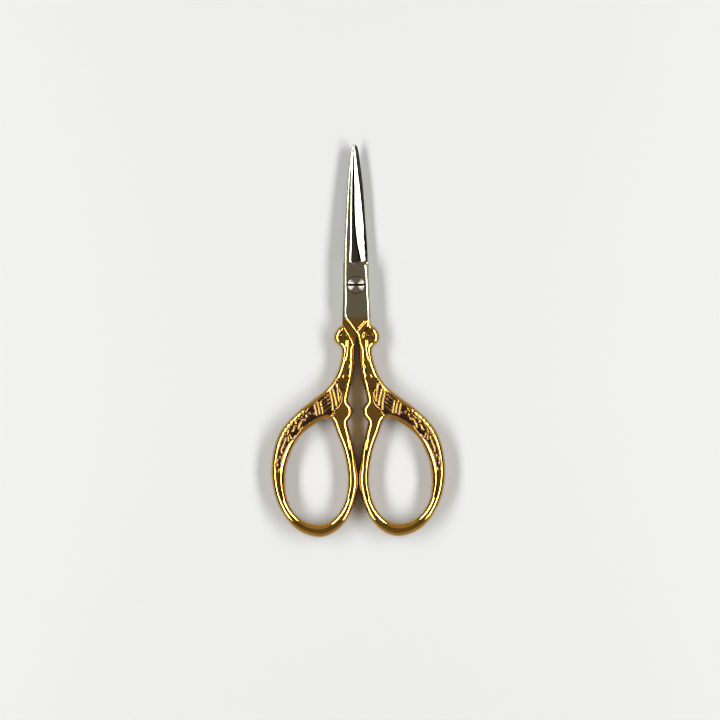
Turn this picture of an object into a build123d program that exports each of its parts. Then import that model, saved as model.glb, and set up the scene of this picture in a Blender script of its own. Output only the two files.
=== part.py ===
from build123d import *

import os
from math import cos, radians, sin

# Stork embroidery scissors: two mirror forgings and the slotted screw that they turn on.
# +Z is up, +Y runs to the tips, and the origin is on the pivot axis at table level.
# The upper half has its spine at -X and its finger bow at +X. The lower half is the same
# forging turned over about the long axis.

os.makedirs("parts", exist_ok=True)

# Overall sizes in millimetres
blade_reach = 32.3
handle_reach = 57.7
bow_half_width = 19.95
half_thickness = 1.88
flats_gap = 0.04
bows_gap = 0.1

# Joint plate, the flat part of each half that carries the screw
spine_side = 2.8
edge_side = 3.2
edge_side_at_shoulder = 2.85
shoulder_reach = 5.1
shoulder_slant = 6.0
vee_top_reach = 7.7
vee_point_reach = 11.4
vee_top_inset = 0.25
side_bevel = 0.45
root_reach = 13.7
root_side = 0.5
root_width = 1.1
knob_gap = 1.3
knob_lap = 1.5
seat_corner = 0.9

# Blade
edge_at_shoulder = 2.43
tip_thickness = 0.6
edge_land = 0.08
hollow_step = 0.14
hollow_run = 0.25

# Finger bow, ball, knob and relief
flank = 0.8
ball_radius = 1.72
notch_radius = 0.4
relief_depth = 0.28
rail_groove = 0.36
barb_groove = 0.26
band_groove = 0.22
leaf_sagitta = 0.5
side_leaf_sagitta = 0.3
eye_radius = 0.85
pupil_radius = 0.35

# Pivot screw
head_diameter = 4.0
head_height = 0.7
head_edge = 0.22
slot_width = 0.53
slot_depth = 0.38
shank_diameter = 2.2
bore_clearance = 0.05
thread_clearance = 0.02
tail_recess = 0.12
head_gap = 0.02

# Heights that follow from those sizes
thickness = 2 * half_thickness + flats_gap
middle = thickness / 2
inner_flat = middle + flats_gap / 2

# Shares of bow_half_width and of the reach past the vee's top: the handle's outer side, from
# under the joint plate round the knob, down the neck and the wing, round the bow and up its inner leg.
outer_side_shares = [
    (0.198, 0.0370), (0.244, 0.0578), (0.266, 0.0849), (0.238, 0.1114),
    (0.190, 0.1293), (0.176, 0.1483), (0.186, 0.1864), (0.221, 0.2326),
    (0.283, 0.2834), (0.381, 0.3272), (0.511, 0.3682), (0.627, 0.4028),
    (0.742, 0.4426), (0.847, 0.4870), (0.927, 0.5407), (0.978, 0.6099),
    (1.000, 0.6942), (0.984, 0.7692), (0.937, 0.8384), (0.847, 0.9059),
    (0.712, 0.9642), (0.551, 0.9942), (0.466, 1.0000), (0.361, 0.9931),
    (0.236, 0.9642), (0.130, 0.9158), (0.059, 0.8546), (0.017, 0.7934),
]
inner_side_shares = [
    (0.016, 0.6838), (0.045, 0.6134), (0.077, 0.5476), (0.104, 0.5003), (0.135, 0.4288),
    (0.111, 0.3699), (0.086, 0.3284), (0.056, 0.2730), (0.033, 0.2014), (0.028, 0.1345),
]
opening_shares = [
    (0.331, 0.4605), (0.400, 0.4617), (0.491, 0.4813), (0.607, 0.5153),
    (0.702, 0.5569), (0.778, 0.6169), (0.827, 0.6803), (0.841, 0.7554),
    (0.819, 0.8257), (0.737, 0.8881), (0.622, 0.9261), (0.500, 0.9394),
    (0.366, 0.9331), (0.251, 0.8996), (0.175, 0.8500), (0.130, 0.7865),
    (0.122, 0.7184), (0.145, 0.6480), (0.190, 0.5788), (0.251, 0.5142),
]
ball_shares = (0.140, 0.4250)
contact_share = 0.739

# Relief on both faces of the handle, as shares of the same two sizes: grooves beside the
# neck's middle rail, the ring round the eye, the breast panel, the fan, the barbs with the
# bands that close them, the leaves along the wing and the two tail feathers.
eye_shares = (0.172, 0.0814)
rail_groove_shares = [
    [(0.095, 0.1022), (0.093, 0.1437), (0.100, 0.1807), (0.115, 0.2268)],
    [(0.125, 0.1495), (0.131, 0.1703), (0.148, 0.2014), (0.168, 0.2337)],
]
panel_shares = [(0.120, 0.2799), (0.242, 0.2972), (0.179, 0.3653)]
fan_shares = [
    ((0.264, 0.3056), (0.235, 0.3882)),
    ((0.302, 0.3242), (0.269, 0.3975)),
    ((0.340, 0.3382), (0.311, 0.3885)),
]
barb_shares = ((0.315, 0.3584), (0.425, 0.3872))
barb_step_share = 0.0129
barb_count = 4
band_shares = [
    ((0.442, 0.3846), (0.425, 0.4258)),
    ((0.479, 0.3916), (0.459, 0.4315)),
    ((0.514, 0.4024), (0.496, 0.4363)),
]
leaf_shares = [
    ((0.536, 0.4135), (0.660, 0.4729)),
    ((0.673, 0.4798), (0.771, 0.5368)),
    ((0.785, 0.5424), (0.857, 0.5960)),
]
side_leaf_shares = [
    ((0.609, 0.4295), (0.707, 0.4621)),
    ((0.716, 0.4713), (0.798, 0.5057)),
    ((0.807, 0.5167), (0.865, 0.5556)),
]
feather_shares = [((0.868, 0.5938), (0.915, 0.6711)), ((0.836, 0.6076), (0.880, 0.6769))]

# Stations along the blade as shares of its length past the shoulder, with the widths there
# as shares of the widths at the shoulder: spine, spine bevel, hollow and cutting edge.
blade_station_shares = [0.0, 0.3, 0.6, 0.84, 0.955, 1.0]
spine_width_shares = [1.0, 0.85, 0.68, 0.44, 0.29, 0.12]
bevel_width_shares = [1.0, 0.83, 0.64, 0.40, 0.24, 0.08]
hollow_width_shares = [1.0, 0.88, 0.72, 0.48, 0.28, 0.06]
edge_width_shares = [1.0, 0.84, 0.56, 0.28, 0.12, 0.03]
hollow_side_share = 0.5
bevel_side_share = 0.8


def place(shares):
    """A point of the handle from its shares of the bow's half width and of the reach past the vee."""
    return (shares[0] * bow_half_width, -vee_top_reach - shares[1] * (handle_reach - vee_top_reach))


def blade_section(index):
    """Corners of the blade's cross-section at one station, across and up."""
    share = blade_station_shares[index]
    top = inner_flat + half_thickness + share * (tip_thickness - half_thickness)
    tall = top - inner_flat
    scale = tall / half_thickness
    spine = -spine_side * spine_width_shares[index]
    bevel = -spine_side * bevel_side_share * bevel_width_shares[index]
    hollow = -spine_side * hollow_side_share * hollow_width_shares[index]
    edge = edge_at_shoulder * edge_width_shares[index]
    return [
        (spine, inner_flat),
        (spine, top - side_bevel * scale),
        (bevel, top),
        (hollow, top),
        (hollow + hollow_run * scale * hollow_width_shares[index], top - hollow_step * scale),
        (edge, inner_flat + edge_land),
        (edge, inner_flat),
    ]


def blade():
    """The blade past the shoulder, with its bevelled spine and ground side."""
    length = blade_reach - shoulder_reach
    with BuildPart() as steel:
        for index, share in enumerate(blade_station_shares):
            slant = radians(shoulder_slant) * (1 - min(share / blade_station_shares[1], 1))
            across = (cos(slant), sin(slant), 0)
            out = (sin(slant), -cos(slant), 0)
            station = Plane(origin=(0, shoulder_reach + share * length, 0), x_dir=across, z_dir=out)
            with BuildSketch(station):
                with BuildLine():
                    Polyline(blade_section(index), close=True)
                make_face()
        loft(ruled=True)
    return steel.part


def joint_plate():
    """The flat plate between blade and handle, bevelled along its sides and its vee."""
    rise = sin(radians(shoulder_slant))
    with BuildPart() as plate:
        with BuildSketch(Plane.XY.offset(inner_flat)):
            with BuildLine():
                Polyline(
                    (-spine_side, shoulder_reach - spine_side * rise),
                    (edge_side_at_shoulder, shoulder_reach + edge_side_at_shoulder * rise),
                    (edge_side, -vee_top_reach - knob_gap),
                    (edge_side, -vee_top_reach - knob_gap - knob_lap),
                    (root_side + root_width, -root_reach),
                    (root_side, -root_reach),
                    (0, -vee_point_reach),
                    (vee_top_inset - spine_side, -vee_top_reach),
                    close=True,
                )
            make_face()
        extrude(amount=half_thickness)
        rim = plate.edges().group_by(Axis.Z)[-1]
        top = inner_flat + half_thickness
        spine = rim.sort_by_distance((-spine_side, 0, top))[0]
        edge = rim.sort_by_distance((edge_side, 0, top))[0]
        vee = rim.sort_by_distance((-spine_side / 2, -(vee_top_reach + vee_point_reach) / 2, top))[0]
        chamfer([spine, edge, vee], length=side_bevel)
    return plate.part


def handle_outline():
    """The handle seen from above, with its ball, before its finger bow is opened."""
    across = spine_side - vee_top_inset
    down = vee_point_reach - vee_top_reach
    side = (across**2 + down**2) ** 0.5
    shift = (knob_gap * down / side, -knob_gap * across / side)
    seat_top = (across + shift[0], -vee_top_reach + shift[1])
    seat_foot = (shift[0], -vee_point_reach + shift[1])
    contact = (bows_gap / 2, place((0, contact_share))[1])
    outer = [place(point) for point in outer_side_shares]
    inner = [place(point) for point in inner_side_shares]
    with BuildSketch() as outline:
        with BuildLine():
            Line(seat_foot, seat_top)
            Spline(seat_top, *outer, contact, *inner, seat_foot)
        make_face()
        fillet(outline.vertices(), radius=seat_corner)
        with Locations(place(ball_shares)):
            Circle(ball_radius)
        notches = outline.vertices().sort_by_distance(place(ball_shares))[:2]
        fillet(notches, radius=notch_radius)
    return outline.sketch


def bow_opening():
    """The opening for a finger."""
    with BuildSketch() as opening:
        with BuildLine():
            Spline([place(point) for point in opening_shares], periodic=True)
        make_face()
    return opening.sketch


def groove(points, width):
    """One groove of the relief along hand-placed points, as a flat ribbon."""
    with BuildLine() as course:
        if len(points) > 2:
            Spline(*[place(point) for point in points])
        else:
            Line(*[place(point) for point in points])
    trace(course.line, line_width=width)


def relief():
    """Everything that is sunk into one face of the handle."""
    with BuildSketch() as pattern:
        with Locations(place(eye_shares)):
            Circle(eye_radius)
            Circle(pupil_radius, mode=Mode.SUBTRACT)
        for points in rail_groove_shares:
            groove(points, rail_groove)
        with BuildLine():
            Polyline([place(point) for point in panel_shares], close=True)
        make_face()
        for points in fan_shares:
            groove(points, band_groove)
        for count in range(barb_count):
            drop = count * barb_step_share
            groove([(across, down + drop) for across, down in barb_shares], barb_groove)
        for points in band_shares:
            groove(points, band_groove)
        for leaves, sagitta in ((leaf_shares, leaf_sagitta), (side_leaf_shares, side_leaf_sagitta)):
            for start, end in leaves:
                with BuildLine():
                    SagittaArc(place(start), place(end), sagitta)
                    SagittaArc(place(start), place(end), -sagitta)
                make_face()
        for points in feather_shares:
            groove(points, barb_groove)
    return pattern.sketch


def handle():
    """The full-thickness handle, with bevelled flanks and relief on both faces."""
    pattern = relief()
    outline = handle_outline()
    opening = bow_opening()
    with BuildPart() as forged:
        for shape, use in ((outline, Mode.ADD), (opening, Mode.SUBTRACT)):
            for level in (0, thickness):
                with BuildSketch(Plane.XY.offset(level)):
                    add(shape)
            loft(ruled=True, mode=use)
        levels = forged.edges().group_by(Axis.Z)
        chamfer(levels[0] + levels[-1], length=flank)
        for height, depth in ((0, relief_depth), (thickness, -relief_depth)):
            with BuildSketch(Plane.XY.offset(height)):
                add(pattern)
            extrude(amount=depth, mode=Mode.SUBTRACT)
    return forged.part


# One forging, as the upper half lies: blade, joint plate and handle in one piece
with BuildPart() as forging:
    add(joint_plate())
    add(blade())
    add(handle())

with BuildPart() as upper_half:
    add(forging.part)
    Hole(shank_diameter / 2 + bore_clearance)

with BuildPart() as lower_half:
    add(forging.part.rotate(Axis((0, 0, middle), (0, 1, 0)), 180))
    Hole(shank_diameter / 2 + thread_clearance)

# The slotted screw: it turns freely in the upper half and its end is fast in the lower one
with BuildPart() as pivot_screw:
    head_foot = thickness + head_gap
    head_top = head_foot + head_height
    with BuildSketch(Plane.XZ):
        with BuildLine():
            Polyline(
                (0, tail_recess),
                (shank_diameter / 2, tail_recess),
                (shank_diameter / 2, head_foot),
                (head_diameter / 2, head_foot),
                (head_diameter / 2, head_top - head_edge),
                (head_diameter / 2 - head_edge, head_top),
                (0, head_top),
                close=True,
            )
        make_face()
    revolve(axis=Axis.Z)
    with BuildSketch(Plane.XY.offset(head_top)):
        Rectangle(head_diameter, slot_width)
    extrude(amount=-slot_depth, mode=Mode.SUBTRACT)

upper_half.part.label = "upper_half"
export_step(upper_half.part, "parts/upper_half.step")
lower_half.part.label = "lower_half"
export_step(lower_half.part, "parts/lower_half.step")
pivot_screw.part.label = "pivot_screw"
export_step(pivot_screw.part, "parts/pivot_screw.step")
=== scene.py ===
import math
from functools import partial

import bmesh
import bpy
import numpy as np
from mathutils import Matrix, Vector, geometry, kdtree


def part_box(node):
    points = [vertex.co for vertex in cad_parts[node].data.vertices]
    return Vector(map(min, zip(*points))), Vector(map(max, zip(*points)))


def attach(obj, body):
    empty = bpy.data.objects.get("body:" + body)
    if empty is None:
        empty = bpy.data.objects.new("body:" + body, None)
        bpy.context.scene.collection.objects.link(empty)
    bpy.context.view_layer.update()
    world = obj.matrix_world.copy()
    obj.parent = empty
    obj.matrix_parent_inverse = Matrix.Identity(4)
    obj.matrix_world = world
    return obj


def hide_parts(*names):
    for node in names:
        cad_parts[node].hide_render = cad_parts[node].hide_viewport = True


bl_info = {
    "name": "Stork embroidery scissors",
    "version": (1, 0, 0),
    "blender": (4, 5, 0),
    "location": "View3D > Sidebar > Scissors",
    "description": "Two gold-plated steel forgings with struck relief, and the screw they turn on",
    "category": "Object",
}

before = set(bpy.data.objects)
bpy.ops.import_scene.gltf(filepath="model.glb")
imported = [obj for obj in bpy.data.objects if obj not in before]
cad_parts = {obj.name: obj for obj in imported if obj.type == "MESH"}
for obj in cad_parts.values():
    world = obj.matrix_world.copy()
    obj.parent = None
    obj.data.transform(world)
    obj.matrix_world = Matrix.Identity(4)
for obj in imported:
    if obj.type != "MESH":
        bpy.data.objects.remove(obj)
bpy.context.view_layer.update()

# One millimetre in scene units. Sizes below are in millimetres, but for the stage's.
MM = 0.001

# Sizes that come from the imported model
upper_low, upper_high = (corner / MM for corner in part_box("upper_half"))
screw_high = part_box("pivot_screw")[1] / MM
blade_reach = upper_high.y
handle_reach = -upper_low.y
bow_half_width = upper_high.x
thickness = upper_high.z
head_radius = screw_high.x

# How the 720 x 720 photograph maps to the table: scale, the pivot's pixel and the small turn
photo_pixels_per_mm = 4.355
photo_pivot = (356.2, 285.2)
photo_turn = 0.0119
photo_centre = (360, 360)
photo_width = 720.0

# Joint plate
flats_gap = 0.04
inner_flat = thickness / 2 + flats_gap / 2
shoulder_reach = 5.25
plate_corner = (2.8, 5.29)
vee_point = (0.02, -11.4)
vee_top = (-2.58, -7.85)
bore_radius = 1.13
bore_steps = 48

# Blade: its cutting edge from the tip down, and its spine from the vee up to the tip
tip_point = (-0.15, blade_reach)
cutting_edge = [
    (0.02, 32.05), (0.28, 31.05), (0.6, 28.4), (1.13, 23.6),
    (1.6, 18.4), (2.02, 13.4), (2.29, 9.2), (2.43, 5.25),
]
spine_line = [
    (-2.74, -7.4), (-2.79, -4), (-2.8, 0), (-2.78, 3), (-2.73, 5.2), (-2.62, 9.3), (-2.37, 13.3),
    (-2.08, 18.4), (-1.66, 24.2), (-1.28, 27.6), (-0.82, 31), (-0.45, 32),
]
blade_edge = cutting_edge[::-1] + [tip_point]
tip_thickness = 0.6
blade_taper = [(shoulder_reach, thickness), (blade_reach, inner_flat + tip_thickness)]
least_width = 0.05

# Ground facet: its wall's line, width and step, its foot and corner by the joint plate, and
# how the wall shrinks towards the tip
ground_line = [(-1.55, 4.6), (-1.29, 9.2), (-1.06, 18.4), (-0.91, 24.2), (-0.62, 29), (-0.34, 31.6)]
ground_wall = 0.36
ground_step = 0.17
ground_foot = [(-1.55, 4.82), (2.43, 5.23)]
ground_corner = 0.7
ground_shrink = [(5, 1), (24, 0.75), (31, 0.4), (32.3, 0.1)]
polish_fade = 0.1

# The facet's floor is gentle as far as this line and steep beyond it, down to the honed edge
facet_line = [(1.3, 5), (0.45, 9.2), (-0.1, 14), (-0.28, 18.4), (-0.12, 24.2), (-0.2, 29), (-0.3, 31.8)]
facet_slope = math.tan(math.radians(28))
floor_slope = math.tan(math.radians(11))
facet_blend = 0.22
edge_land = 0.08
honed_width = 0.2
honed_curve = 0.3
edge_bevel = 0.16
honed_slope = 0.3

# The inner face is ground hollow. The hollow grows in near the shoulder.
hollow_slope = math.tan(math.radians(12))
hollow_growth = [(5.6, 0), (7.5, 1)]

# Handle outline, from the plate's corner round to the vee. The handle's own part is given as
# shares of bow_half_width and of the handle's reach past the vee's top.
vee_reach = 7.7
bows_gap = 0.1
plate_side = [(2.87, 4.9), (2.94, 1.5), (3.05, -3), (3.2, -7), (3.25, -8.5), (3.42, -9.2)]
handle_shares = [
    (0.198, 0.037), (0.244, 0.0578), (0.266, 0.0849), (0.238, 0.1114),
    (0.19, 0.1293), (0.176, 0.1483), (0.186, 0.1864), (0.221, 0.2326),
    (0.283, 0.2834), (0.381, 0.3272), (0.511, 0.3682), (0.627, 0.4028),
    (0.742, 0.4426), (0.847, 0.487), (0.927, 0.5407), (0.978, 0.6099),
    (1, 0.6942), (0.984, 0.7692), (0.937, 0.8384), (0.847, 0.9059),
    (0.712, 0.9642), (0.551, 0.9942), (0.466, 1), (0.361, 0.9931),
    (0.236, 0.9642), (0.13, 0.9158), (0.059, 0.8546), (0.017, 0.7934),
    # Where the two bows come closest
    (bows_gap / 2 / bow_half_width, 0.739),
    # The leg, its ball and the neck
    (0.016, 0.6838), (0.045, 0.6134), (0.077, 0.5476), (0.104, 0.5003), (0.112, 0.4726),
    (0.073, 0.4495), (0.056, 0.4253), (0.072, 0.4011), (0.104, 0.3815), (0.104, 0.363),
    (0.086, 0.3284), (0.056, 0.273), (0.033, 0.2014), (0.026, 0.1322),
]
root_side = [(0.4, -13.2), (0.28, -12.4), (0.12, -11.8)]
opening_shares = [
    (0.331, 0.4605), (0.4, 0.4617), (0.491, 0.4813), (0.607, 0.5153),
    (0.702, 0.5569), (0.778, 0.6169), (0.827, 0.6803), (0.841, 0.7554),
    (0.819, 0.8257), (0.737, 0.8881), (0.622, 0.9261), (0.5, 0.9394),
    (0.366, 0.9331), (0.251, 0.8996), (0.175, 0.85), (0.13, 0.7865),
    (0.122, 0.7184), (0.145, 0.648), (0.19, 0.5788), (0.251, 0.5142),
]

# Where the full-thickness handle starts under the joint plate
seat_top = (3.4, -9.15)
seat_line = [(2.95, -9.42), (2.35, -10.15), (1.8, -11.05), (1.3, -11.85), (0.95, -12.65), (0.68, -13.4)]
seat_foot = (0.5, -14)

# Flanks: width of the rounded border, its depth as a share of the width, and the share of that
# depth that is a plain slope, eased in at the shoulder. The rest is rounding, drawn to the rim.
# The opening has leg flanks up to leg_share of the bow's half width.
no_flank = (0.05, 0, 0.4)
bevel_flank = (0.6, 1.02, 0.43)
outer_flank = (1.02, 0.98, 0.5)
inner_flank = (1.35, 0.98, 0.5)
leg_flank = (0.93, 0.98, 0.5)
seat_flank = (0.45, 0.8, 0.5)
flank_power = 4.0
shoulder_ease = 0.25
leg_share = 0.3

# Width of the bevel at places along the plate's side and along the spine
plate_bevels = [(-9.2, 0.7), (-7, 0.62), (0, 0.7), (3.4, 0.85), (4.9, 1.05)]
spine_bevels = [(5, 0.52), (24, 0.44), (31, 0.3), (32.3, 0.12)]

# A flank takes up to this share of its room, half of the steel's width behind the rim. Steel
# nearer than least_reach is the rim's own, and flank widths are averaged over a few neighbours.
room_share = 0.87
open_room = 9.0
least_reach = 0.2
flank_neighbours = 4

# Relief on the visible face, in pixels of the photograph. A ridge is left standing in a pocket
# and has its half width in millimetres and its strength. A groove is sunk and has its half
# width and its depth.
ridge_strokes = [
    (0.2, 1, [(378.3, 384), (377.6, 387), (377, 391), (376.5, 396), (375.9, 401)]),
    (0.15, 1, [(374.6, 394.8), (374.5, 398.5)]),
    (0.24, 1, [(382, 388.8), (380.9, 393), (379.9, 397), (379.2, 401), (378.7, 405)]),
    (0.2, 1, [(384.8, 390.3), (384.2, 394), (383.2, 399), (382.5, 404), (382.5, 409.3)]),
    (0.2, 1, [(386.7, 394.3), (389, 396.4), (392, 398.9), (394.3, 401.3), (393.8, 405), (392.6, 412.3)]),
    (0.17, 0.9, [(386.4, 398.3), (388, 399.8), (390.5, 401.5), (393, 403.3)]),
    (0.17, 0.9, [(385.4, 401.6), (387.5, 403.4), (390, 405.2), (393, 407)]),
    (0.17, 0.9, [(384.2, 405.3), (386.5, 406.8), (389, 408.6), (392, 410.8)]),
    (0.19, 1, [(397.6, 401.2), (397, 404), (396.4, 407.5), (395.8, 412.7)]),
    (0.19, 1, [(400.5, 404.2), (399.9, 407.5), (399.2, 411), (398.8, 414)]),
    (0.24, 1, [(404, 404.4), (406.6, 405.3), (408, 407.5), (409.8, 410.5)]),
    (0.17, 1, [(405.8, 411), (407.5, 412.3), (409, 414), (408.6, 415.6)]),
    (0.27, 1, [(410.4, 408.4), (411.5, 410.5), (412.9, 413.3)]),
    (0.2, 1, [(413.6, 410.2), (415.5, 412), (417.5, 414), (419.8, 416.5)]),
    (0.13, 0.9, [(413.3, 415.3), (414.6, 416.6), (415.8, 418)]),
    (0.14, 0.7, [(416, 415.5), (417.3, 417), (418.6, 418.5)]),
    (0.2, 1, [(412, 417.5), (414.3, 420.5), (416.2, 424), (416.8, 427.3)]),
    (0.25, 1, [(419.5, 421.8), (420.3, 419.3), (422, 418.6), (425, 419.4)]),
    (0.2, 1, [(420, 424.4), (421.3, 426), (422.2, 428.3), (423.2, 429.6)]),
    (0.22, 1, [(424.3, 421.8), (426, 424.5), (428.5, 426.7), (431, 429.3), (433, 433.5)]),
    (0.17, 1, [(427.6, 427), (427.6, 430.5), (429, 432.8), (431.8, 433), (433.2, 431.5)]),
    (0.15, 0.9, [(426.2, 432.5), (425.2, 435), (424.4, 437.5)]),
    (0.13, 1, [(427.5, 434.5), (427.4, 437), (427.3, 439.5)]),
    (0.2, 1, [(430.3, 435.8), (430.8, 439), (432.6, 443.6), (434.2, 447.2), (434.5, 451.3)]),
    (0.14, 1, [(436.3, 454), (436, 456.3)]),
    (0.26, 1, [(439.2, 457), (440.3, 460)]),
    (0.15, 1, [(438.9, 461.3), (439.2, 463.7)]),
    (0.13, 0.8, [(437.5, 467), (437.8, 468.5)]),
    (0.35, 0.6, [(402.2, 412.3), (404.3, 412.3)]),
    (0.15, 0.8, [(410.3, 417.8), (410.6, 419)]),
]
groove_strokes = [
    (0.27, 0.095, [
        (368.2, 321.5), (368.4, 325.5), (367, 328.6), (364.9, 331.2), (363.5, 334.4), (362.9, 338),
    ]),
    (0.23, 0.08, [
        (373.4, 334.8), (372.7, 332.5), (370.6, 331.6), (368.4, 332.5), (367.5, 334.8), (368.4, 337.2),
        (370.6, 338.2), (372.7, 337.2), (373.4, 334.8),
    ]),
    (0.3, 0.12, [(365.2, 321.6), (361.2, 326.2), (356.8, 331.2)]),
    (0.3, 0.105, [(366.6, 340.5), (366.8, 344), (367.2, 350), (367.9, 355), (369.2, 359.5)]),
    (0.12, 0.12, [(363.3, 358), (363.5, 360.5)]),
    (0.12, 0.12, [(364.4, 365), (364.7, 367.5)]),
    (0.2, 0.07, [(365.3, 369), (366.2, 372.5), (366.8, 376.5)]),
    (0.18, 0.22, [(368.5, 379.8), (371, 380.8), (374, 382.2), (376.2, 382.6)]),
    (0.17, 0.2, [(368.6, 383.3), (371.2, 384.2)]),
    (0.17, 0.2, [(369, 387.6), (372.4, 389.4)]),
    (0.17, 0.2, [(373.4, 386.8), (375.2, 388.2)]),
    (0.2, 0.075, [(374.6, 403.6), (377.6, 406.6), (380, 410.4), (381.8, 414.6)]),
    (0.24, 0.14, [(411.8, 412.4), (413.2, 410.9), (413.7, 409.4)]),
    (0.24, 0.14, [(416.7, 415.5), (417.8, 413.5), (418.8, 412.6)]),
    (0.24, 0.14, [(420.9, 419.1), (422.4, 417.9), (423.3, 416.5)]),
    (0.24, 0.14, [(424.5, 422.7), (425.8, 421.1), (427, 420.1)]),
    (0.24, 0.14, [(427.8, 426.5), (429.5, 425.4), (430.5, 424.1)]),
    (0.24, 0.14, [(431, 430.3), (432.4, 428.8), (433.8, 428.1)]),
    (0.22, 0.14, [(433.7, 434.6), (435.5, 433.9), (436.6, 432.8)]),
    (0.2, 0.12, [(435.8, 439.2), (438.7, 438.1)]),
    (0.36, 0.06, [(367.7, 441), (366, 451), (364.7, 469), (365.2, 487), (367.6, 497)]),
    (0.36, 0.06, [(434.8, 496), (436.4, 489), (437.4, 479.6), (437.2, 472)]),
]
pocket_shapes = [
    [
        (379.6, 383.2), (382.2, 387.9), (385.6, 390.9), (389.5, 394), (393, 396.9), (396.6, 399.6),
        (400.2, 402.9), (403.6, 405.4), (406, 407), (409.3, 411), (412.5, 414.3), (416.3, 415.9),
        (419.3, 419.2), (422.3, 421.6), (425.3, 425.9), (428, 429), (431.3, 433.6), (433.4, 437.5),
        (435.4, 442), (437, 446.5), (438.3, 451), (439.3, 456), (440.4, 461), (440.4, 466),
        (438.6, 469), (437, 467), (435.6, 460), (434.4, 456), (433.1, 452.5), (431.2, 449),
        (429, 444.5), (426.5, 440.6), (424.5, 438.4), (422, 436.6), (419, 433), (416.4, 429.4),
        (413.3, 425), (410.6, 423.3), (407.6, 421.6), (402.6, 418.6), (398, 416.2), (393, 414.2),
        (388, 413.4), (384.2, 414.2), (382, 411), (379.8, 408.2), (377.4, 405.8), (375, 402.6),
        (373.9, 398.5), (374.3, 393), (376.4, 388),
    ],
    [
        (366.6, 375.4), (370.4, 375), (371.4, 377.6), (374.6, 377.6), (378.4, 381.8),
        (377.2, 385), (374.6, 390.2), (370.4, 392.6), (368.6, 388), (367, 381),
    ],
]
pocket_depths = [0.3, 0.12]
pocket_softness = 0.16

# Shape of a groove's hollow, steepness of a ridge's sides, and slope of its roof
groove_power = 1.5
ridge_power = 8.0
roof_slope = math.tan(math.radians(25.5))

# Mesh: spacing of points, and of the rows of points that follow the rims. The first
# relief_rim_steps of these rows go on through the relief.
rim_spacing = 0.13
stroke_spacing = 0.08
pocket_spacing = 0.15
wall_spacing = 0.1
relief_spacing = 0.093
plain_spacing = 0.24
relief_margin = 0.4
rim_steps = [0.08, 0.16, 0.25, 0.35, 0.42, 0.49, 0.56, 0.63, 0.71, 0.79, 0.87, 0.95, 1.04, 1.14, 1.25]
relief_rim_steps = 13

# Least distances between points, as shares of a row's step or of a spacing, and in millimetres
row_clearance = 0.94
relief_clearance = 0.62
plain_clearance = 0.5
least_gap = 0.045
merge_distance = 1e-6
faces_at_once = 4000

# Pivot screw. The head's edge is given as steps in from its radius and down from its top.
slot_half_width = 0.265
slot_depth = 0.38
head_height = 0.7
head_crown = 0.05
head_edge = [(0.2, 0.05), (0.17, 0.07), (0.01, 0.25), (0, 0.29)]
head_chamfer = 0.04
shank_radius = 1.1
tail_recess = 0.12
tail_chamfer = 0.1
ring_border = 0.21
ring_pitch = 0.11
ring_depth = 0.015
turned_steps = 96
# Depths below the head's top over which the screw goes over to near black: painted shade in the slot and
# round the head's edge
painted_shade_depths = (0.06, 0.12)

# Plating: the gold fades out between two places in y, with a cloudy edge
gold_fade = (-6, -7.6)
cloud_size = 2.2
cloud_shift = 1.6
mottle_size = 0.35
mottle_height = 0.02
screw_mottle_size = 0.5

# Stage, in metres
paper_half_width = 6.0
lamp_size = (0.8, 0.125)
lamp_lean = math.radians(50)
aim_point = (0, -0.012, 0)
sensor_width_mm = 36.0
clip_range = (0.01, 20)

# The room's colour at heights from the floor (0) to the zenith (1), its two ends first
room_colours = [
    (0, "#3E2A1C"), (1, "#8A867B"),
    (0.36, "#3E2C1E"), (0.5, "#2A241E"), (0.84, "#2E2B26"), (0.93, "#74706A"),
]


def photo_point(place):
    """The point of the table, in millimetres, that a pixel of the photograph shows."""
    across, down = ((at - pivot) / photo_pixels_per_mm for at, pivot in zip(place, photo_pivot))
    return (across - down * photo_turn, -down - across * photo_turn)


def handle_points(shares):
    """Points of the handle from shares of the bow's half width and the reach past the vee."""
    past_vee = handle_reach - vee_reach
    return [(across * bow_half_width, -vee_reach - down * past_vee) for across, down in shares]


def smooth_curve(points, spacing=rim_spacing, closed=False):
    """Evenly spaced points on the smoothest curve through the given ones."""
    knots = np.array(points + points[:1] if closed else points, float)
    lengths = np.hypot(*np.diff(knots, axis=0).T)
    along = np.concatenate(([0.0], np.cumsum(lengths)))
    count = len(knots)
    system = np.eye(count)
    pull = np.zeros((count, 2))
    for row in range(0 if closed else 1, count - 1):
        behind = row - 1 if row else count - 2
        before, after = lengths[row - 1], lengths[row]
        system[row, row] = (before + after) / 3
        system[row, behind], system[row, row + 1] = before / 6, after / 6
        pull[row] = (knots[row + 1] - knots[row]) / after - (knots[row] - knots[behind]) / before
    if closed:
        system[-1, 0] = -1
    bend = np.linalg.solve(system, pull)
    steps = max(2, math.ceil(along[-1] / spacing)) + 1
    wanted = np.linspace(0, along[-1], steps)
    span = np.clip(np.searchsorted(along, wanted, side="right") - 1, 0, count - 2)
    width = lengths[span]
    back = ((along[span + 1] - wanted) / width)[:, None]
    on = 1 - back
    curve = back * knots[span] + on * knots[span + 1]
    curve += ((back**3 - back) * bend[span] + (on**3 - on) * bend[span + 1]) * (width**2)[:, None] / 6
    return curve[:-1] if closed else curve


def inside(points, loop):
    """Which of the points lie inside a closed loop."""
    (x0, y0), (x1, y1) = loop.T, np.roll(loop, -1, axis=0).T
    across, up = points[:, :1], points[:, 1:]
    rise = np.where(y0 == y1, 1.0, y1 - y0)
    left = across < x0 + (up - y0) / rise * (x1 - x0)
    return (((y0 > up) != (y1 > up)) & left).sum(axis=1) % 2 == 1


def nearest_tree(points):
    """A search tree over points of the plane."""
    tree = kdtree.KDTree(len(points))
    for index, (x, y) in enumerate(points):
        tree.insert((x, y, 0), index)
    tree.balance()
    return tree


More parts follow.
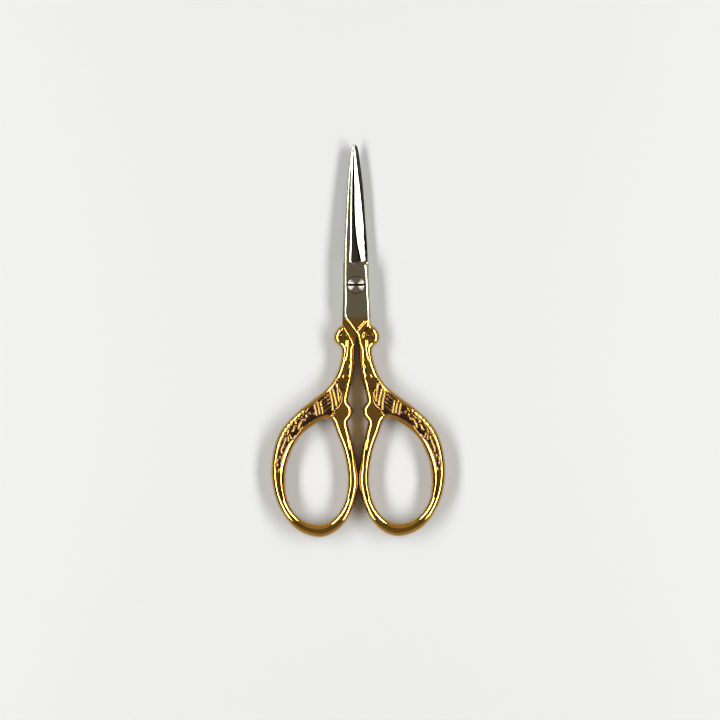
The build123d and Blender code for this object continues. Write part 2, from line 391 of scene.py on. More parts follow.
def distances(tree, points):
    """Distance from each point to the nearest one in a tree."""
    return np.array([tree.find((x, y, 0))[2] for x, y in points])


def read_off(places, pairs):
    """The value at each place, read off a table of (place, value) pairs."""
    return np.interp(places, *zip(*pairs))


def across_at(along, line):
    """How far across a line of the blade lies at each place along it."""
    return read_off(along, [(y, x) for x, y in line])


def cross(first, second):
    """The cross product of vectors in the plane."""
    return first[..., 0] * second[..., 1] - first[..., 1] * second[..., 0]


def inward_normals(loop, solid_inside):
    """Unit normals of a closed loop that point into the steel."""
    after = np.roll(loop, -1, axis=0)
    along = after - np.roll(loop, 1, axis=0)
    normals = np.stack((-along[:, 1], along[:, 0]), axis=1)
    normals /= np.hypot(*normals.T)[:, None]
    return normals if (np.sum(cross(loop, after)) > 0) == solid_inside else -normals


def rooms(loops, normals):
    """Half of the steel's width behind each point of some loops."""
    starts = np.concatenate(loops)
    edges = np.concatenate([np.roll(loop, -1, axis=0) for loop in loops]) - starts
    found = []
    for point, direction in zip(starts, np.concatenate(normals)):
        offset = starts - point
        turn = cross(direction, edges)
        turn = np.where(np.abs(turn) < 1e-9, 1e-9, turn)
        reach, share = cross(offset, edges) / turn, cross(offset, direction) / turn
        hits = reach[(reach > least_reach) & (share >= 0) & (share <= 1)]
        found.append(min([open_room, *hits / 2]))
    return np.array(found)


def softened(values, reach):
    """Values round a closed loop, averaged over a few neighbours each way."""
    total = sum(np.roll(values, shift, axis=0) for shift in range(-reach, reach + 1))
    return total / (2 * reach + 1)


class Blank:
    """The forging before it is struck: outlines, flank sizes and the seat, seen from above."""

    def __init__(self):
        side = smooth_curve(plate_side + handle_points(handle_shares) + root_side + [vee_point])
        edge = smooth_curve([tip_point] + cutting_edge)
        vee = smooth_curve([vee_point, vee_top])
        spine = smooth_curve([vee_top] + spine_line + [tip_point])
        self.outline = np.concatenate((edge, [plate_corner], side[:-1], vee[:-1], spine[:-1]))
        self.opening = smooth_curve(handle_points(opening_shares), closed=True)
        turns = np.linspace(0, 2 * math.pi, bore_steps, endpoint=False)
        bore = bore_radius * np.stack((np.cos(turns), np.sin(turns)), axis=1)
        self.loops = [self.outline, self.opening, bore]
        self.normals = [inward_normals(loop, loop is self.outline) for loop in self.loops]
        self.seat_start, self.seat_end = self.nearest(seat_top), self.nearest(seat_foot)
        self.steel = slice(self.seat_start, self.seat_end + 1)
        outer = self.outline[self.steel]
        self.seat = smooth_curve([tuple(outer[0])] + seat_line + [tuple(outer[-1])])[1:-1]
        self.seat_flanks = np.tile(seat_flank, (len(self.seat), 1))
        self.handle_loop = np.concatenate((outer, self.seat[::-1]))
        starts = np.cumsum([0, len(edge), 1, len(side) - 1, len(vee) - 1])
        self.outline_flanks = self.flanks(starts)
        normals = [inward_normals(self.handle_loop, True), self.normals[1]]
        room = room_share * rooms([self.handle_loop, self.opening], normals)
        by_leg = self.opening[:, 0] < leg_share * bow_half_width
        widths = np.minimum(np.where(by_leg, leg_flank[0], inner_flank[0]), room[len(self.handle_loop) :])
        self.opening_flanks = np.tile(inner_flank, (len(self.opening), 1))
        self.opening_flanks[:, 0] = softened(widths, 2 * flank_neighbours)
        widths = self.outline_flanks[self.steel, 0]
        self.outline_flanks[self.steel, 0] = np.minimum(widths, room[: len(outer)])
        self.outline_flanks = softened(self.outline_flanks, flank_neighbours)
        self.outline_flanks[: len(edge) - 2] = no_flank

    def nearest(self, place):
        """Index of the outline's point nearest to a place."""
        return int(np.argmin(np.hypot(*(self.outline - place).T)))

    def flanks(self, starts):
        """Flank sizes round the outline: plate, knob and handle, vee and spine."""
        flanks = np.tile(no_flank, (len(self.outline), 1))
        side_start, vee_start, spine_start = starts[2:]
        flanks[side_start:] = bevel_flank
        plate = slice(side_start, self.seat_start)
        flanks[plate, 0] = read_off(self.outline[plate, 1], plate_bevels)
        flanks[self.seat_start : self.seat_end] = outer_flank
        lowest = self.seat_start + int(np.argmin(self.outline[self.steel, 1]))
        flanks[lowest : self.seat_end] = leg_flank
        flanks[spine_start:, 0] = read_off(self.outline[spine_start:, 1], spine_bevels)
        return flanks

    def fill(self, spacing):
        """Staggered rows of points over the steel."""
        points = []
        low, high = self.outline[:, 1].min(), self.outline[:, 1].max()
        starts = np.concatenate(self.loops)
        ends = np.concatenate([np.roll(loop, -1, axis=0) for loop in self.loops])
        rise = spacing * math.sqrt(3) / 2
        for row, up in enumerate(np.arange(low + rise / 2, high, rise)):
            crossing = (starts[:, 1] > up) != (ends[:, 1] > up)
            (x0, y0), (x1, y1) = starts[crossing].T, ends[crossing].T
            across = np.sort(x0 + (up - y0) / (y1 - y0) * (x1 - x0))
            shift = spacing / 2 * (row % 2)
            for left, right in zip(across[::2], across[1::2]):
                first = math.ceil((left - shift) / spacing) * spacing + shift
                points += [(x, up) for x in np.arange(first, right, spacing)]
        return np.array(points)


def eased(past):
    """Distance past a line, eased in from zero round the line."""
    return facet_blend * np.log1p(np.exp(np.clip(past / facet_blend, -30, 30)))


def blade_top(points):
    """Height of the upper surface before its flanks, and how polished it is there."""
    across, along = points.T
    top = read_off(along, blade_taper)
    wall = across_at(along, ground_line)
    edge = across_at(along, blade_edge)
    start = across_at(along, facet_line)
    inner_x, inner_y = across - wall, along - read_off(across, ground_foot)
    corner_x, corner_y = ground_corner - inner_x, ground_corner - inner_y
    rounded = ground_corner - np.hypot(corner_x, corner_y)
    depth_in = np.where((corner_x > 0) & (corner_y > 0), rounded, np.minimum(inner_x, inner_y))
    shrink = read_off(along, ground_shrink)
    step = ground_step * shrink
    sunk = step * np.clip(depth_in / (ground_wall * shrink), 0, 1)

    def fall(place):
        gentle = np.maximum(place - wall - ground_wall, 0) * floor_slope
        return gentle + eased(place - start) * (facet_slope - floor_slope)

    honed_off = honed_curve * honed_width**2 + honed_slope * edge_bevel
    lack = np.maximum(inner_flat + edge_land + honed_off - (top - step - fall(edge)), 0)
    run = np.clip((across - wall) / np.maximum(edge - wall, least_width), 0, 1)
    left = edge - across
    honed = honed_curve * np.maximum(honed_width - left, 0) ** 2
    honed += honed_slope * np.maximum(edge_bevel - left, 0)
    ground = np.maximum(top - sunk - fall(across) + lack * run - honed, inner_flat + edge_land)
    return np.where(depth_in > 0, ground, top), np.clip(depth_in / polish_fade, 0, 1)


def hollow_grind(points):
    """How far the blade's inner face is ground hollow, from its back to its cutting edge."""
    across, along = points.T
    back = across_at(along, spine_line + [tip_point])
    width = np.maximum(across_at(along, blade_edge) - back, least_width)
    share = np.clip((across - back) / width, 0, 1)
    return read_off(along, hollow_growth) * hollow_slope * width * share * (1 - share)


def photo_curve(places, spacing, closed=False):
    """Closely spaced points on the curve through pixels of the photograph."""
    return smooth_curve([photo_point(place) for place in places], spacing, closed)


def triangulated(blank):
    """The steel seen from above as triangles, with the seat and all rims as edges."""
    lines = [photo_curve(places, stroke_spacing) for _, _, places in ridge_strokes + groove_strokes]
    lines += [photo_curve(shape, pocket_spacing, True) for shape in pocket_shapes]
    lines.append(smooth_curve([(x + ground_wall / 2, y) for x, y in ground_line], wall_spacing))
    relief = nearest_tree(np.concatenate(lines))
    rims = np.concatenate(blank.loops + [blank.seat])
    rim_tree = nearest_tree(rims)
    rows = []
    for count, step in enumerate(rim_steps):
        for loop, normals in zip(blank.loops[:2], blank.normals):
            moved = loop + normals * step
            clear = distances(rim_tree, moved) > step * row_clearance
            if count >= relief_rim_steps:
                clear &= distances(relief, moved) > relief_margin
            rows.append(moved[clear])
    rows = np.concatenate(rows)
    tree = nearest_tree(rows)
    kept = np.ones(len(rows), bool)
    for index, (x, y) in enumerate(rows):
        found = tree.find_range((x, y, 0), least_gap)
        kept[index] = not any(other < index and kept[other] for _, other, _ in found)
    points = np.concatenate((rims, rows[kept]))
    for spacing, clearance, reach in (
        (relief_spacing, relief_clearance, relief_margin),
        (plain_spacing, plain_clearance, math.inf),
    ):
        filling = blank.fill(spacing)
        clear = distances(nearest_tree(points), filling) > spacing * clearance
        points = np.concatenate((points, filling[clear & (distances(relief, filling) <= reach)]))
    edges = []
    first = 0
    for loop in blank.loops:
        edges += [(first + index, first + (index + 1) % len(loop)) for index in range(len(loop))]
        first += len(loop)
    seat = [blank.seat_start, *range(first, first + len(blank.seat)), blank.seat_end]
    edges += list(zip(seat, seat[1:]))
    coords = [Vector(point) for point in points]
    made = geometry.delaunay_2d_cdt(coords, edges, [], 0, merge_distance)
    flat = np.array([tuple(point) for point in made[0]])
    faces = np.array([face for face in made[2] if len(face) == 3])
    centres = flat[faces].mean(axis=1)
    solid, handle = np.zeros((2, len(faces)), bool)
    for start in range(0, len(faces), faces_at_once):
        part = slice(start, start + faces_at_once)
        in_outline, in_opening, in_bore = (inside(centres[part], loop) for loop in blank.loops)
        solid[part] = in_outline & ~in_opening & ~in_bore
        handle[part] = inside(centres[part], blank.handle_loop)
    return flat, faces[solid], handle[solid]


def folded_mesh(blank):
    """The blank as one closed mesh lying flat: level 1 is its top, 0 the inner flat, -1 its foot."""
    flat, faces, handle = triangulated(blank)
    corners = {}

    def corner(index, level):
        return corners.setdefault((index, level), len(corners))

    plate_points, handle_points = np.unique(faces[~handle]), np.unique(faces[handle])
    for level, used in ((1, np.unique(faces)), (0, plate_points), (-1, handle_points)):
        for index in used.tolist():
            corner(index, level)
    polygons, sides = [], {}
    for face, is_handle in zip(faces.tolist(), handle.tolist()):
        foot = -1 if is_handle else 0
        polygons.append([corner(index, 1) for index in face])
        polygons.append([corner(index, foot) for index in reversed(face)])
        for a, b in zip(face, face[1:] + face[:1]):
            sides.setdefault((min(a, b), max(a, b)), []).append((a, b, is_handle))
    for uses in sides.values():
        a, b, is_handle = uses[0]
        wall = (1, 0.5, 0, -0.5, -1) if is_handle else (1, 0.5, 0)
        if len(uses) == 2:
            if is_handle == uses[1][2]:
                continue
            a, b, _ = uses[0] if is_handle else uses[1]
            wall = (0, -0.5, -1)
        for above, below in zip(wall, wall[1:]):
            polygons.append([corner(b, above), corner(a, above), corner(a, below), corner(b, below)])
    places, levels = (np.array(values) for values in zip(*corners))
    spots = flat[places]
    mesh = bpy.data.meshes.new("forging_blank")
    mesh.from_pydata([(x * MM, y * MM, 0) for x, y in spots.tolist()], [], polygons)
    heights, polish = blade_top(spots)
    plate_only = np.isin(places, plate_points) & ~np.isin(places, handle_points)
    store(mesh, "level", levels)
    store(mesh, "top_height", heights * MM)
    store(mesh, "hollow", np.where(levels == 0, hollow_grind(spots), 0.0) * MM)
    store(mesh, "polish", np.where(levels == 0, 1.0, polish) * plate_only)
    store(mesh, "plate", plate_only)
    return mesh


def store(mesh, name, values):
    """Keeps values on a mesh's points: a number for each, or a row of three."""
    values = np.array(values, np.float32)
    kind, field = ("FLOAT", "value") if values.ndim == 1 else ("FLOAT_VECTOR", "vector")
    mesh.attributes.new(name, kind, "POINT").data.foreach_set(field, values.ravel())


def line_object(name, lines):
    """Loose edges along lines, each with three sizes, or a row of three sizes for each point."""
    points, edges, values = [], [], []
    for line, closed, sizes in lines:
        first, count = len(points), len(line)
        points += [(x * MM, y * MM, 0) for x, y in line]
        ends = range(count if closed else count - 1)
        edges += [(first + index, first + (index + 1) % count) for index in ends]
        values.append(np.broadcast_to(sizes, (count, 3)))
    mesh = bpy.data.meshes.new(name)
    mesh.from_pydata(points, edges, [])
    store(mesh, "sizes", np.concatenate(values))
    return new_object(name, mesh)


def stroke_object(name, strokes, roof=0.0, unit=1.0):
    """Loose edges along strokes, with their widths, strengths or depths, and roofs."""
    return line_object(name, [
        (photo_curve(places, stroke_spacing), False, (width * MM, strength * unit, roof * width))
        for width, strength, places in strokes
    ])


def rim(line, flanks, closed=True):
    """A rim with its flanks' widths, depths and slopes, as line_object takes it."""
    width, depth, slope = flanks.T
    return line, closed, np.column_stack((width * MM, width * depth * MM, slope))


def pocket_object():
    """The sunk pockets as flat faces, with their depths on their points."""
    points, faces, values = [], [], []
    for shape, depth in zip(pocket_shapes, pocket_depths):
        loop = [Vector(point) for point in photo_curve(shape, pocket_spacing, True)]
        corners = geometry.delaunay_2d_cdt(loop, [], [list(range(len(loop)))], 1, merge_distance)
        faces += [[len(points) + index for index in face] for face in corners[2]]
        points += [(point.x * MM, point.y * MM, 0) for point in corners[0]]
        values += [(0, depth * MM, 0)] * len(corners[0])
    mesh = bpy.data.meshes.new("pockets")
    mesh.from_pydata(points, [], faces)
    store(mesh, "sizes", values)
    return new_object("pockets", mesh)


def new_object(name, data):
    """An object in the scene."""
    made = bpy.data.objects.new(name, data)
    bpy.context.scene.collection.objects.link(made)
    return made


def filled_mesh(name, work):
    """A mesh with what a bmesh holds, which is then freed."""
    mesh = bpy.data.meshes.new(name)
    work.to_mesh(mesh)
    work.free()
    return mesh


def add(tree, kind, inputs=None, **settings):
    """Adds a node with its settings, links or sets its inputs, and gives its outputs."""
    node = tree.nodes.new(kind)
    for name, value in settings.items():
        setattr(node, name, value)
    for name, value in (inputs or {}).items():
        socket = node.inputs[name]
        if isinstance(value, bpy.types.NodeSocket):
            tree.links.new(value, socket)
        else:
            socket.default_value = value
    return node.outputs


def mixed(tree, factor, first, second, kind="RGBA"):
    """Two colours, or two numbers, blended by a factor."""
    socket, output = (6, 2) if kind == "RGBA" else (2, 0)
    inputs = {"Factor": factor, socket: first, socket + 1: second}
    return add(tree, "ShaderNodeMix", inputs, data_type=kind)[output]


def ranged(tree, value, low, high, to_low=0.0, to_high=1.0, kind="SMOOTHSTEP"):
    """A value spread from one range onto another."""
    inputs = {"Value": value, "From Min": low, "From Max": high, "To Min": to_low, "To Max": to_high}
    return add(tree, "ShaderNodeMapRange", inputs, interpolation_type=kind)[0]


def noise(tree, place, size, detail):
    """Cloudy noise whose patches are about this size in millimetres."""
    return add(tree, "ShaderNodeTexNoise", {"Vector": place, "Scale": 1 / (size * MM), "Detail": detail})[0]


def forging_tree(material):
    """The node tree that strikes the blank: flanks, pockets, grooves and ridges."""
    tree = bpy.data.node_groups.new("struck_forging", "GeometryNodeTree")
    tree.is_modifier = True
    for kind, names in (
        ("Geometry", ["Geometry"]),
        ("Object", ["Top rim", "Foot rim", "Ridges", "Grooves", "Pockets"]),
        ("Float", ["Inner flat", "Pocket softness", "Deepest cut"]),
    ):
        for name in names:
            tree.interface.new_socket(name, in_out="INPUT", socket_type="NodeSocket" + kind)
    tree.interface.new_socket("Geometry", in_out="OUTPUT", socket_type="NodeSocketGeometry")
    given = add(tree, "NodeGroupInput")
    position = add(tree, "GeometryNodeInputPosition")[0]

    def number(operation, *values, clamp=False):
        inputs = dict(enumerate(values))
        return add(tree, "ShaderNodeMath", inputs, operation=operation, use_clamp=clamp)[0]

    operations = ("ADD", "SUBTRACT", "MULTIPLY", "DIVIDE", "POWER", "MAXIMUM")
    plus, minus, times, over, power, highest = (partial(number, name) for name in operations)

    def stored(name, kind="FLOAT"):
        return add(tree, "GeometryNodeInputNamedAttribute", {"Name": name}, data_type=kind)[0]

    def near(source, element="EDGES"):
        """The distance to an object, and the three sizes at its nearest point."""
        shape = add(tree, "GeometryNodeObjectInfo", {"Object": given[source]})["Geometry"]
        inputs = {0: shape, "Sample Position": position}
        distance = add(tree, "GeometryNodeProximity", inputs, target_element=element)["Distance"]
        nearest = add(tree, "GeometryNodeSampleNearest", inputs, domain="POINT")[0]
        inputs = {"Geometry": shape, "Value": stored("sizes", "FLOAT_VECTOR"), "Index": nearest}
        sizes = add(tree, "GeometryNodeSampleIndex", inputs, data_type="FLOAT_VECTOR", domain="POINT")[0]
        return distance, *add(tree, "ShaderNodeSeparateXYZ", {0: sizes})

    def flank(source):
        """How far the flank along a rim has fallen."""
        distance, width, depth, slope = near(source)
        share = minus(1.0, over(distance, width))
        curved = times(power(highest(share, 0.0), flank_power), minus(1.0, slope))
        plain = times(number("SMOOTH_MAX", share, 0.0, shoulder_ease), slope)
        return times(depth, plus(curved, plain))

    # A groove is a rounded hollow, and a pocket is flat inside its soft wall
    distance, width, depth, _ = near("Grooves")
    share = over(distance, width)
    groove = times(depth, power(minus(1.0, times(share, share), clamp=True), groove_power))
    distance, _, depth, _ = near("Pockets", "FACES")
    share = minus(1.0, over(distance, given["Pocket softness"]), clamp=True)
    cut = highest(groove, times(depth, ranged(tree, share, 0.0, 1.0)))

    # A ridge is left standing: its roof falls evenly from the crest, then steeply at the sides
    distance, width, strength, fall = near("Ridges")
    share = over(distance, width)
    dome = plus(times(share, fall), times(power(share, ridge_power), minus(1.0, fall)))
    cut = times(cut, minus(1.0, times(minus(1.0, dome, clamp=True), strength)))

    # Each point goes to its level's share of the way from the inner flat to the top or the foot
    level, inner = stored("level"), given["Inner flat"]
    top = minus(minus(stored("top_height"), flank("Top rim")), cut)
    up = times(highest(level, 0.0), minus(top, inner))
    down = times(number("MINIMUM", level, 0.0), minus(inner, plus(flank("Foot rim"), cut)))
    height = plus(plus(inner, stored("hollow")), plus(up, down))
    offset = add(tree, "ShaderNodeCombineXYZ", {2: height})[0]
    # The share of the deepest cut, kept as 'sunk', darkens the recesses in the material: brown patina plus
    # painted shade
    sunk = over(cut, given["Deepest cut"], clamp=True)
    inputs = {"Geometry": given["Geometry"], "Name": "sunk", "Value": sunk}
    shape = add(tree, "GeometryNodeStoreNamedAttribute", inputs, data_type="FLOAT", domain="POINT")[0]
    shape = add(tree, "GeometryNodeSetPosition", {"Geometry": shape, "Offset": offset})[0]
    shape = add(tree, "GeometryNodeRealizeInstances", {0: shape})[0]
    shape = add(tree, "GeometryNodeSetMaterial", {"Geometry": shape, "Material": material})[0]
    add(tree, "NodeGroupOutput", {0: shape})
    return tree


def set_inputs(modifier, values):
    """Sets a modifier's inputs by the names that its tree gives them."""
    for item in modifier.node_group.interface.items_tree:
        if item.item_type == "SOCKET" and item.in_out == "INPUT" and item.name in values:
            modifier[item.identifier] = values[item.name]


def worked_mesh(context, item):
    """The mesh an object's modifier makes. The modifier is then removed."""
    evaluated = item.evaluated_get(context.evaluated_depsgraph_get())
    mesh = bpy.data.meshes.new_from_object(evaluated)
    item.modifiers.clear()
    if not mesh.polygons:
        raise RuntimeError(f"{item.name} came out empty")
    return mesh


def crease(mesh, angle):
    """Smooth shading all over, with sharp edges where the plate and blade turn a corner."""
    work = bmesh.new()
    work.from_mesh(mesh)
    plate = work.verts.layers.float["plate"]
    for edge in work.edges:
        corner = len(edge.link_faces) == 2 and all(vert[plate] > 0.5 for vert in edge.verts)
        edge.smooth = not corner or edge.calc_face_angle(0) < angle
    for item in work.faces:
        item.smooth = True
    work.to_mesh(mesh)
    work.free()


def hex_colour(code):
    """An sRGB hex colour as linear RGBA."""
    parts = [int(code[start : start + 2], 16) / 255 for start in (1, 3, 5)]
    return (*[part / 12.92 if part <= 0.04045 else ((part + 0.055) / 1.055) ** 2.4 for part in parts], 1.0)


def new_material(name):
    """A material with an empty node tree."""
    material = bpy.data.materials.new(name)
    material.use_nodes = True
    material.node_tree.nodes.clear()
    return material, material.node_tree


def shade(tree, inputs):
    """The principled shader with its inputs, and the material's output."""
    add(tree, "ShaderNodeOutputMaterial", {"Surface": add(tree, "ShaderNodeBsdfPrincipled", inputs)[0]})


def plated_steel():
    """Forged steel, nickel plated all over and gold plated on the handle.

    The gold fades out across the joint plate and has a clear lacquer. The ground facet is
    polished. The struck recesses are painted darker the deeper they are: brown patina plus painted shade.
    """
    material, tree = new_material("gold_and_nickel_plated_steel")
    place = add(tree, "ShaderNodeTexCoord")["Object"]
    along = add(tree, "ShaderNodeSeparateXYZ", {0: place})["Y"]
    sunk = add(tree, "ShaderNodeAttribute", attribute_name="sunk")["Fac"]
    polish = add(tree, "ShaderNodeAttribute", attribute_name="polish")["Fac"]
    inputs = {0: noise(tree, place, cloud_size, 3.0), 1: cloud_shift * MM, 2: along}
    shift = add(tree, "ShaderNodeMath", inputs, operation="MULTIPLY_ADD")[0]
    gold = ranged(tree, shift, gold_fade[0] * MM, gold_fade[1] * MM)
    nickel = mixed(tree, polish, hex_colour("#A39C82"), hex_colour("#7C7A70"))
    plating = mixed(tree, gold, nickel, hex_colour("#AE801E"))
    # Recesses go over to dark brown with their depth: brown patina plus painted shade
    painted_shade = ranged(tree, sunk, 0.2, 0.8, 0.0, 0.88)
    mottle = noise(tree, place, mottle_size, 2.0)
    satin = ranged(tree, mottle, 0.0, 1.0, 0.17, 0.23, kind="LINEAR")
    rough = mixed(tree, gold, satin, 0.05, "FLOAT")
    dull = mixed(tree, gold, 0.12, 0.03, "FLOAT")
    inputs = {"Strength": dull, "Distance": mottle_height * MM, "Height": mottle}
    shade(tree, {
        "Base Color": mixed(tree, painted_shade, plating, hex_colour("#3C1604")),
        "Roughness": mixed(tree, polish, rough, 0.045, "FLOAT"),
        "Metallic": 1.0,
        "Coat Weight": gold,
        "Coat Roughness": 0.03,
        "Normal": add(tree, "ShaderNodeBump", inputs)[0],
    })
    return material


def screw_steel():
    """Turned, nickel plated steel: bright, with brushed rings, and painted shade in the slot and round the
    head's edge.
    """
    material, tree = new_material("turned_nickel_plated_steel")
    place = add(tree, "ShaderNodeTexCoord")["Object"]
    height = add(tree, "ShaderNodeSeparateXYZ", {0: place})["Z"]
    # Everything lower than the head's top by these depths is painted near black: painted shade in the slot
    # and round the head's edge
    unshaded, shaded = ((screw_high.z - depth) * MM for depth in painted_shade_depths)
    painted_shade = ranged(tree, height, unshaded, shaded, kind="LINEAR")
    mottle = noise(tree, place, screw_mottle_size, 2.0)
    shade(tree, {
        "Base Color": mixed(tree, painted_shade, hex_colour("#A5A196"), hex_colour("#1C1712")),
        "Roughness": ranged(tree, mottle, 0.0, 1.0, 0.28, 0.34, kind="LINEAR"),
        "Metallic": 1.0,
        "Anisotropic": 0.95,
        "Anisotropic Rotation": 0.25,
        "Tangent": add(tree, "ShaderNodeTangent", direction_type="RADIAL", axis="Z")[0],
    })
    return material


def paper_white():
    """Matt white paper: the plain pale ground of the photograph."""
    material, tree = new_material("matt_white_paper")
    shade(tree, {"Base Color": hex_colour("#9C9D9D"), "Roughness": 0.9, "Specular IOR Level": 0.1})
    return material


class ForgingSettings(bpy.types.PropertyGroup):
    """Sizes of the two forgings that a user may change."""

    pocket_softness: bpy.props.FloatProperty(
        name="Pocket softness", description="Width of the sloping wall round a sunk pocket, in millimetres",
        default=pocket_softness, min=0.05, max=1.0,
    )
    # Depth at which the recesses' painted shade and patina reach full darkness
    deepest_cut: bpy.props.FloatProperty(
        name="Deepest cut", description="Depth at which a recess is darkest, in millimetres",
        default=pocket_depths[0], min=0.05, max=1.0,
    )
    crease_angle: bpy.props.FloatProperty(
        name="Crease angle", description="Corners of plate and blade sharper than this stay sharp",
        default=math.radians(24), subtype="ANGLE",
    )


class StageSettings(bpy.types.PropertyGroup):
    """Light and camera."""

    lamp_power: bpy.props.FloatProperty(
        name="Lamp power", description="Power of each of the two soft lamps",
        default=7.2, min=0.0, unit="POWER",
    )
    lamp_distance: bpy.props.FloatProperty(
        name="Lamp distance", description="From the pivot to each lamp",
        default=0.55, min=0.1, unit="LENGTH",
    )
    camera_height: bpy.props.FloatProperty(
        name="Camera height", description="Of the camera above the table",
        default=0.45, min=0.1, unit="LENGTH",
    )


class OBJECT_OT_scissors_forgings(bpy.types.Operator):
    """Strike the forging and place it as the upper and the lower half"""

    bl_idname = "object.scissors_forgings"
    bl_label = "Make the forgings"

    def execute(self, context):
        settings = context.scene.scissors_forging
        blank = Blank()
        source = new_object("blank", folded_mesh(blank))
        outer, outer_flanks, steel = blank.outline, blank.outline_flanks, blank.steel
        opening = rim(blank.opening, blank.opening_flanks)
        foot = [rim(outer[steel], outer_flanks[steel], False), opening]
        foot.append(rim(blank.seat, blank.seat_flanks, False))
        helpers = {
            "Top rim": line_object("top_rim", [rim(outer, outer_flanks), opening]),
            "Foot rim": line_object("foot_rim", foot),
            "Ridges": stroke_object("ridges", ridge_strokes, roof=roof_slope / pocket_depths[0]),
            "Grooves": stroke_object("grooves", groove_strokes, unit=MM),
            "Pockets": pocket_object(),
        }
        modifier = source.modifiers.new("strike", "NODES")
        modifier.node_group = forging_tree(plated_steel())
        set_inputs(modifier, {
            **helpers,
            "Inner flat": inner_flat * MM,
            "Pocket softness": settings.pocket_softness * MM,
            "Deepest cut": settings.deepest_cut * MM,
        })
        struck = worked_mesh(context, source)
        for helper in (source, *helpers.values()):
            bpy.data.objects.remove(helper)
        crease(struck, settings.crease_angle)
        turned = struck.copy()
        raised = Matrix.Translation((0, 0, thickness * MM))
        turned.transform(raised @ Matrix.Diagonal((-1, 1, -1, 1)))
        for name, mesh, body, node, slot in (
            ("upper_forging", struck, "upper_scissor", "upper_half", "upper_forging"),
            ("lower_forging", turned, "lower_scissor", "lower_half", "lower_forging"),
        ):
            mesh.name = name
            piece = new_object(name, mesh)
            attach(piece, body)
            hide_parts(node)
        return {"FINISHED"}


class OBJECT_OT_scissors_screw(bpy.types.Operator):
    """Turn the slotted pivot screw"""

    bl_idname = "object.scissors_screw"
    bl_label = "Make the screw"

    def execute(self, context):
        top = screw_high.z
        foot = top - head_height
        radii = np.linspace(0, head_radius - ring_border, turned_steps)
        rings = ring_depth * (0.5 - 0.5 * np.cos(2 * math.pi * radii / ring_pitch))
        profile = list(zip(radii, top - head_crown * (radii / head_radius) ** 2 - rings))
        profile += [(head_radius - inward, top - down) for inward, down in head_edge]
        profile += [
            (head_radius, foot + head_chamfer), (head_radius - head_chamfer, foot),
            (shank_radius, foot), (shank_radius, tail_recess + tail_chamfer),
            (shank_radius - tail_chamfer, tail_recess), (0, tail_recess),
        ]
        work = bmesh.new()
        verts = [work.verts.new((radius * MM, 0, height * MM)) for radius, height in profile]
        edges = [work.edges.new(pair) for pair in zip(verts, verts[1:])]
        bmesh.ops.spin(
            work, geom=verts + edges, axis=(0, 0, 1), cent=(0, 0, 0), angle=2 * math.pi, steps=turned_steps,
        )
        bmesh.ops.remove_doubles(work, verts=work.verts, dist=1e-7)
        bmesh.ops.recalc_face_normals(work, faces=work.faces)
        piece = new_object("pivot_screw_turned", filled_mesh("pivot_screw_turned", work))
        work = bmesh.new()
        bmesh.ops.create_cube(work, size=1.0)
        size = Vector((3 * head_radius, 2 * slot_half_width, 2 * slot_depth)) * MM
        for vert in work.verts:
            vert.co = vert.co * size + Vector((0, 0, top * MM))
        cutter = new_object("slot", filled_mesh("slot", work))
        cut = piece.modifiers.new("slot", "BOOLEAN")
        cut.object = cutter
        cut.solver = "EXACT"
        slotted = worked_mesh(context, piece)
        piece.data = slotted
        bpy.data.objects.remove(cutter)
        slotted.materials.clear()
        slotted.materials.append(screw_steel())
        slotted.shade_smooth()
        slotted.set_sharp_from_angle(angle=math.radians(40))
        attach(piece, "lower_scissor")
        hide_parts("pivot_screw")
        return {"FINISHED"}


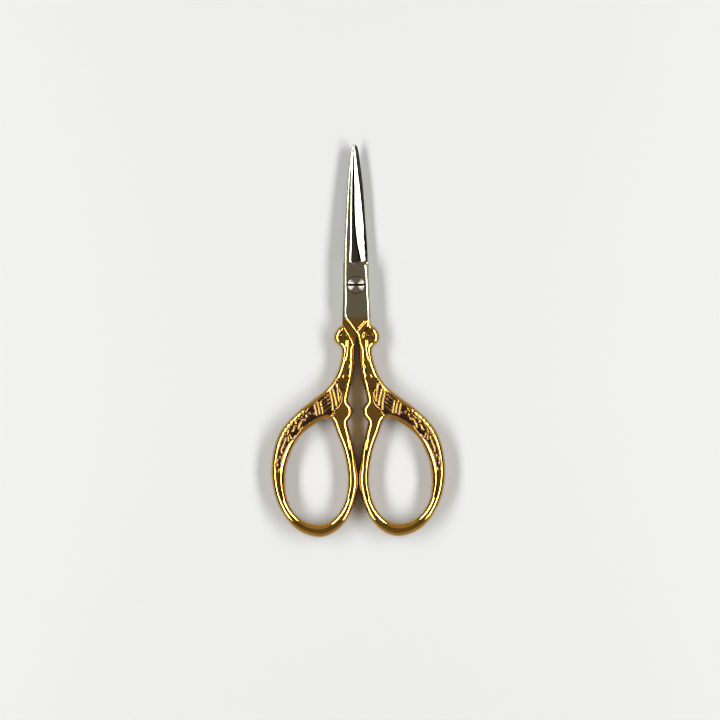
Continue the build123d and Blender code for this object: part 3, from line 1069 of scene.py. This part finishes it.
class OBJECT_OT_scissors_stage(bpy.types.Operator):
    """Lay the paper, place the two lamps and the camera"""

    bl_idname = "object.scissors_stage"
    bl_label = "Make the stage"

    def execute(self, context):
        scene = context.scene
        settings = scene.scissors_stage
        half = paper_half_width
        corners = [(-half, -half, 0), (half, -half, 0), (half, half, 0), (-half, half, 0)]
        mesh = bpy.data.meshes.new("paper")
        mesh.from_pydata(corners, [], [(0, 1, 2, 3)])
        mesh.materials.append(paper_white())
        paper = new_object("paper", mesh)
        aim = Vector(aim_point)
        for side in (-1, 1):
            lamp = bpy.data.lights.new(f"soft_lamp_{side}", "AREA")
            lamp.shape = "RECTANGLE"
            lamp.size, lamp.size_y = lamp_size
            lamp.energy = settings.lamp_power
            light = new_object(lamp.name, lamp)
            direction = Vector((side * math.sin(lamp_lean), 0, math.cos(lamp_lean)))
            light.location = aim + settings.lamp_distance * direction
            light.rotation_euler = (aim - light.location).to_track_quat("-Z", "Y").to_euler()
        self.world(scene)
        camera = bpy.data.cameras.new("overhead")
        camera.sensor_width = sensor_width_mm
        surface = thickness / 2 * MM
        width = photo_width / photo_pixels_per_mm * MM
        camera.lens = camera.sensor_width * (settings.camera_height - surface) / width
        camera.clip_start, camera.clip_end = clip_range
        view = new_object("overhead", camera)
        x, y = photo_point(photo_centre)
        view.location = (x * MM, y * MM, settings.camera_height)
        view.rotation_euler = (0, 0, -photo_turn)
        scene.camera = view
        scene.view_settings.view_transform = "Standard"
        return {"FINISHED"}

    def world(self, scene):
        """A room with pale ends and a dark ceiling ring. The camera itself sees plain white."""
        world = bpy.data.worlds.new("room")
        scene.world = world
        world.use_nodes = True
        tree = world.node_tree
        tree.nodes.clear()
        place = add(tree, "ShaderNodeTexCoord")["Generated"]
        split = add(tree, "ShaderNodeSeparateXYZ", {0: place})
        ramp = add(tree, "ShaderNodeValToRGB", {0: split["Z"]})[0]
        stops = ramp.node.color_ramp.elements
        for index, (height, code) in enumerate(room_colours):
            stop = stops[index] if index < 2 else stops.new(height)
            stop.position, stop.color = height, hex_colour(code)
        side = add(tree, "ShaderNodeMath", {0: split["Y"]}, operation="ABSOLUTE")[0]
        walls = mixed(tree, ranged(tree, side, 0.4, 0.8), ramp, hex_colour("#C9C0AC"))
        room = add(tree, "ShaderNodeBackground", {"Color": walls, "Strength": 1.0})[0]
        plain = add(tree, "ShaderNodeBackground", {"Color": hex_colour("#FFFFFF"), "Strength": 1.0})[0]
        seen = add(tree, "ShaderNodeLightPath")["Is Camera Ray"]
        both = add(tree, "ShaderNodeMixShader", {0: seen, 1: room, 2: plain})[0]
        add(tree, "ShaderNodeOutputWorld", {"Surface": both})


class VIEW3D_PT_scissors(bpy.types.Panel):
    """Lists the steps that dress the scissors"""

    bl_label = "Embroidery scissors"
    bl_space_type = "VIEW_3D"
    bl_region_type = "UI"
    bl_category = "Scissors"

    def draw(self, context):
        layout = self.layout
        for settings in (context.scene.scissors_forging, context.scene.scissors_stage):
            for name in settings.__annotations__:
                layout.prop(settings, name)
        for maker in makers:
            layout.operator(maker.bl_idname)


makers = (OBJECT_OT_scissors_forgings, OBJECT_OT_scissors_screw, OBJECT_OT_scissors_stage)
classes = (ForgingSettings, StageSettings, *makers, VIEW3D_PT_scissors)


def register():
    for item in classes:
        bpy.utils.register_class(item)
    bpy.types.Scene.scissors_forging = bpy.props.PointerProperty(type=ForgingSettings)
    bpy.types.Scene.scissors_stage = bpy.props.PointerProperty(type=StageSettings)


def unregister():
    del bpy.types.Scene.scissors_stage
    del bpy.types.Scene.scissors_forging
    for item in reversed(classes):
        bpy.utils.unregister_class(item)


def main():
    register()
    bpy.ops.object.scissors_forgings()
    bpy.ops.object.scissors_screw()
    bpy.ops.object.scissors_stage()
    bpy.context.view_layer.update()


if __name__ == "__main__":
    main()
